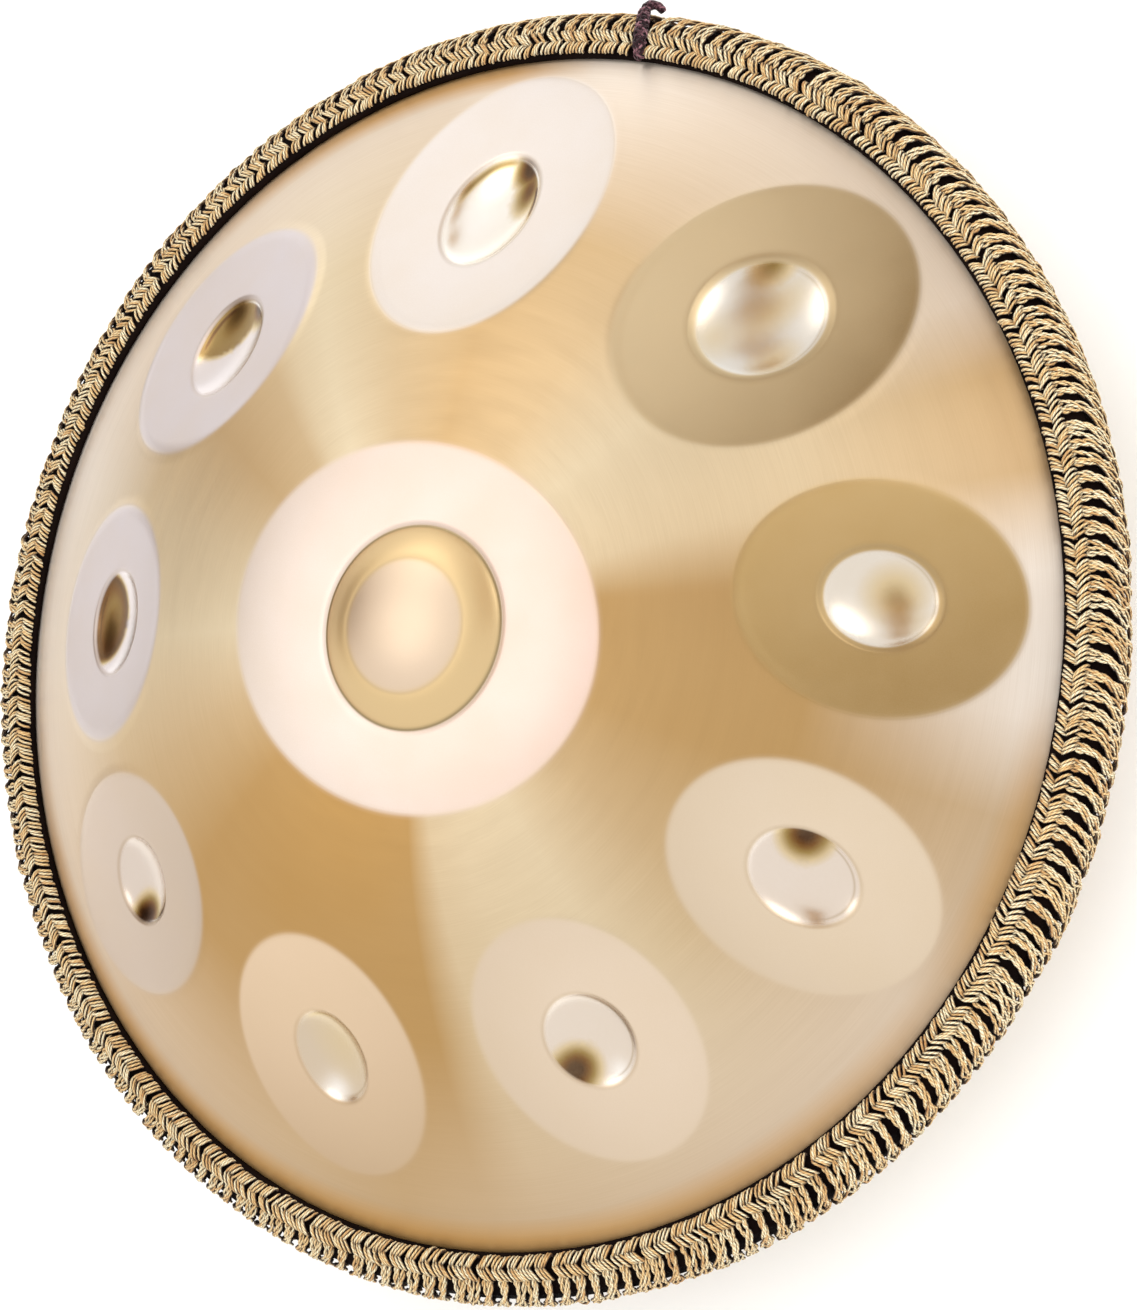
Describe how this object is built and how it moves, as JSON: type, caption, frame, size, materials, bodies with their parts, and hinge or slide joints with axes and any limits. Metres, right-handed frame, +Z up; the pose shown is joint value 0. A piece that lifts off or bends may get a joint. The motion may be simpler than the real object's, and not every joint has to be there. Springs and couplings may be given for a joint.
{
  "type": "handpan",
  "caption": "Tuned steel hand drum: two domed shells glued at the rim, dimpled tone fields round a raised centre note, open port below, cord-wrapped rim.",
  "frame": {"origin": "on the floor, in the plane of the flat ring the bottom shell rests on, at the middle of the whole object's outline, which is under the ding", "axes": "+Z up through the centre of the ding; -Y towards the largest tone field, so the tie cord is near -Y; +X completes the right-handed frame"},
  "size_m": [0.5699, 0.5718, 0.2238],
  "materials": {
    "shell_steel": "satin, heat-tinted gold",
    "seam_glue": "cured adhesive",
    "edging_rubber": "matte black",
    "rim_cord": "twisted straw-coloured plant-fibre cord",
    "tie_cord": "braided burgundy cord"
  },
  "bodies": {
    "root": {"top_shell": "shell_steel", "bottom_shell": "shell_steel", "rim_adhesive": "seam_glue", "rim_edging": "edging_rubber", "braid_upper_chain": "rim_cord", "braid_lacing": "rim_cord", "braid_lower_chain": "rim_cord", "tie_cord": "tie_cord"}
  },
  "joints": []
}
